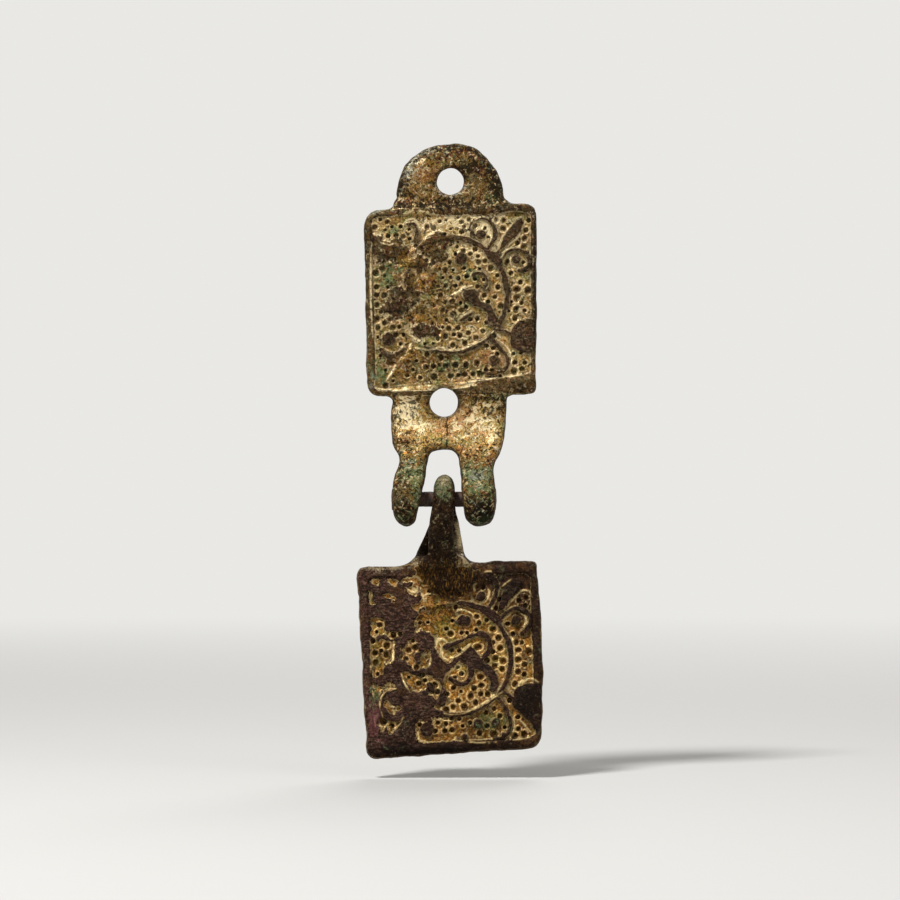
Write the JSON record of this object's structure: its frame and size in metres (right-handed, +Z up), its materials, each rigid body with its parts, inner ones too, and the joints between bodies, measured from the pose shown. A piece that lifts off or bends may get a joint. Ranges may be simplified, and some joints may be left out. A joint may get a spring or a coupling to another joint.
{
  "type": "harness pendant",
  "caption": "Square plate pendant in low relief, hung by its loop on a bar in the forked arms of a square strap mount pierced for rivets.",
  "frame": {"origin": "the middle of the back face of the mount's square plate", "axes": "+Z up along the mount, +Y out of its back towards the strap, +X to the right as seen from the decorated front"},
  "size_m": [0.024, 0.0072, 0.0798],
  "materials": {
    "gilded_mount": "cast copper alloy with worn gilding, brown raised lines and green patina",
    "bar_iron": "corroded iron, dark brown",
    "worn_pendant": "cast copper alloy, dark purplish brown where worn, with gilding in the recessed field"
  },
  "bodies": {
    "mount": {"suspension_mount": "gilded_mount", "axis_bar": "bar_iron"},
    "pendant": {"pendant": "worn_pendant"}
  },
  "joints": [
    {"name": "pendant_swing", "type": "hinge", "parent": "mount", "child": "pendant", "pos_m": [-0.00085, -0.0036, -0.0259], "axis": [-1, 0, 0], "range_deg": [-88, 150]}
  ]
}
